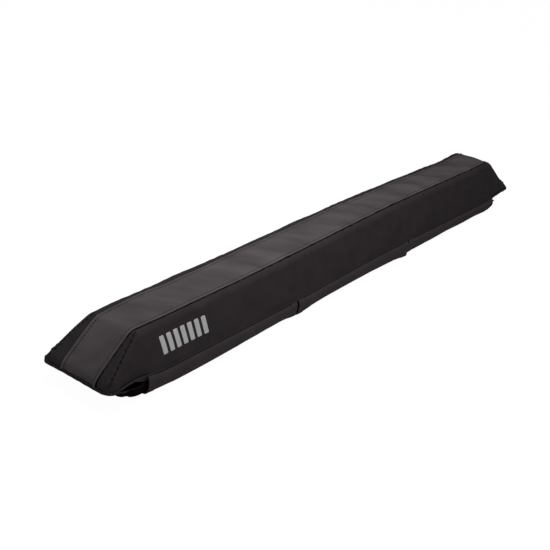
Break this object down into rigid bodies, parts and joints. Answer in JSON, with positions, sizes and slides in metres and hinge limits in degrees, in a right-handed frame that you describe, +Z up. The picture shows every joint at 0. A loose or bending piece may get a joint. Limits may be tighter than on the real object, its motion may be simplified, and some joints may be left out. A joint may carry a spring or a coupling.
{
  "type": "roof rack pad",
  "caption": "Long bevelled foam pad in a sewn black fabric cover, with flaps below that close round a roof bar with hook and loop tape.",
  "frame": {"origin": "middle of the pad, on the surface that its closed flaps rest on", "axes": "+X along the roof bar, +Y towards the side where the inner flaps are sewn, +Z up"},
  "size_m": [0.762, 0.0918, 0.0615],
  "materials": {
    "top_fabric": "dark grey smooth coated fabric with a soft sheen",
    "side_fabric": "black fine woven polyester, matte",
    "flap_fabric": "black woven polyester, matte",
    "base_fabric": "black coated fabric with a grip, matte",
    "binding_tape": "black ribbed tape",
    "hook_tape": "black hook tape",
    "loop_tape": "black brushed loop tape",
    "foam": "grey closed cell foam",
    "thread": "dark grey sewing thread",
    "reflective_print": "light grey reflective film, satin"
  },
  "bodies": {
    "root": {"foam_core": "foam", "top_panel": "top_fabric", "near_side_panel": "side_fabric", "far_side_panel": "side_fabric", "base_panel": "base_fabric", "left_end_binding": "binding_tape", "right_end_binding": "binding_tape", "near_hem_tape": "binding_tape", "far_hem_tape": "binding_tape", "outer_flap_1": "flap_fabric", "outer_flap_2": "flap_fabric", "outer_flap_3": "flap_fabric", "hook_strip_1": "hook_tape", "hook_strip_2": "hook_tape", "hook_strip_3": "hook_tape", "inner_flap_1": "flap_fabric", "inner_flap_2": "flap_fabric", "inner_flap_3": "flap_fabric", "loop_patch_1": "loop_tape", "loop_patch_2": "loop_tape", "loop_patch_3": "loop_tape"}
  },
  "joints": []
}
